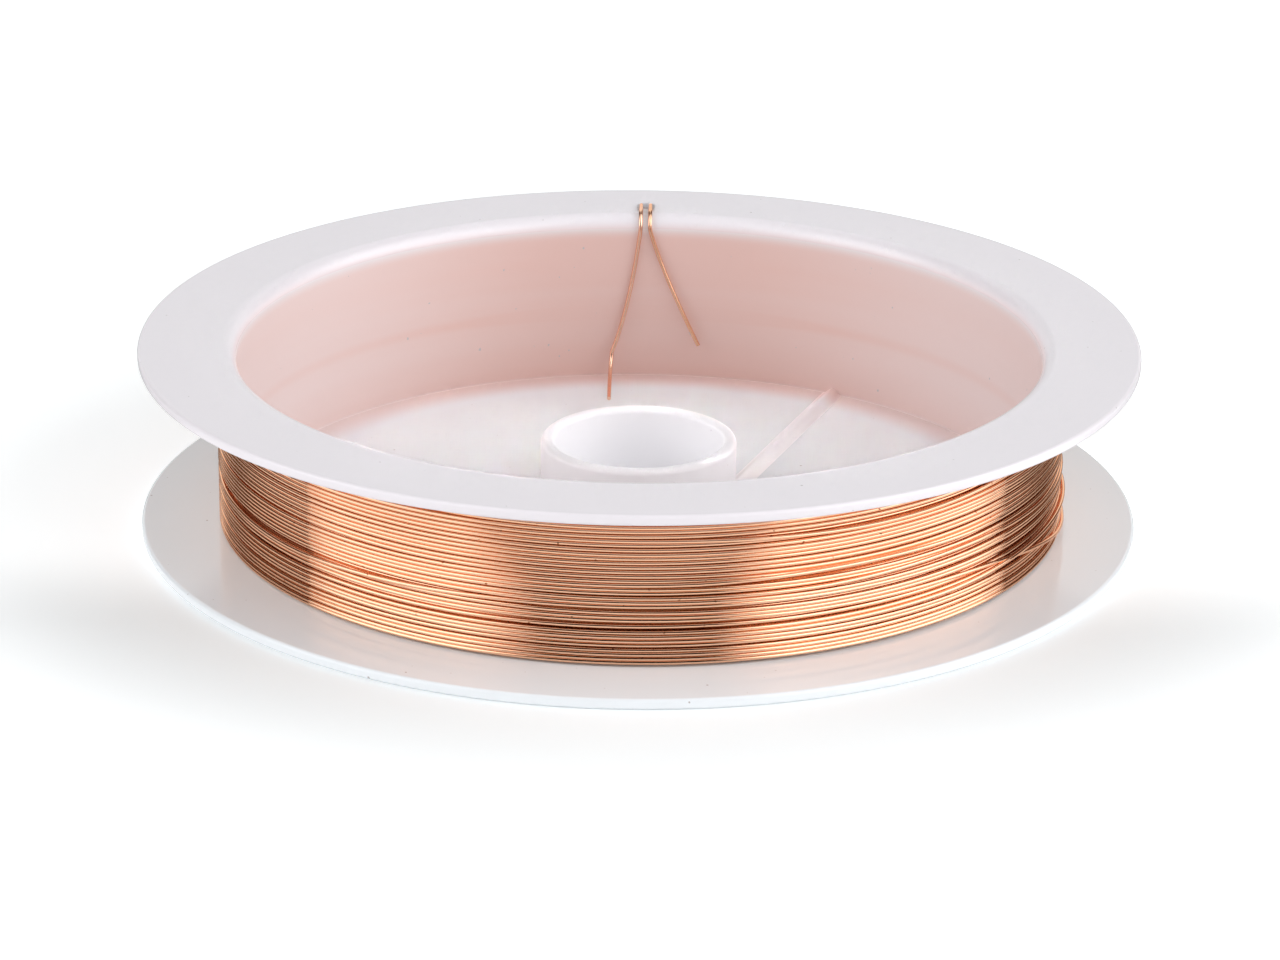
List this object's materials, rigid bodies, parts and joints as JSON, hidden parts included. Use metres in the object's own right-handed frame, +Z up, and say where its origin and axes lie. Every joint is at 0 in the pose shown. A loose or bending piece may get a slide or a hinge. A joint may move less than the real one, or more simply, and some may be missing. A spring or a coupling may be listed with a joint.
{
  "type": "wire spool",
  "caption": "Low flanged plastic spool with a wide hollow drum and a central spindle bore, close-wound with fine bare copper wire whose ends come out through a lead hole.",
  "frame": {"origin": "on the spool's axis, at the underside of the lower flange", "axes": "+Z up along the spool's axis, +Y towards the lead hole in the upper flange"},
  "size_m": [0.07, 0.07, 0.0137],
  "materials": {
    "spool_plastic": "milky, slightly translucent moulded plastic",
    "drum_plastic": "the same milky plastic, thin enough for the copper behind it to tint it pink",
    "copper_wire": "bright bare copper, drawn"
  },
  "bodies": {
    "root": {"upper_flange": "spool_plastic", "drum_wall": "drum_plastic", "lower_flange": "spool_plastic", "hub": "spool_plastic", "floor_rib": "spool_plastic", "wire_inner_layer": "copper_wire", "wire_outer_layer": "copper_wire", "wire_start_tail": "copper_wire", "wire_finish_tail": "copper_wire"}
  },
  "joints": []
}
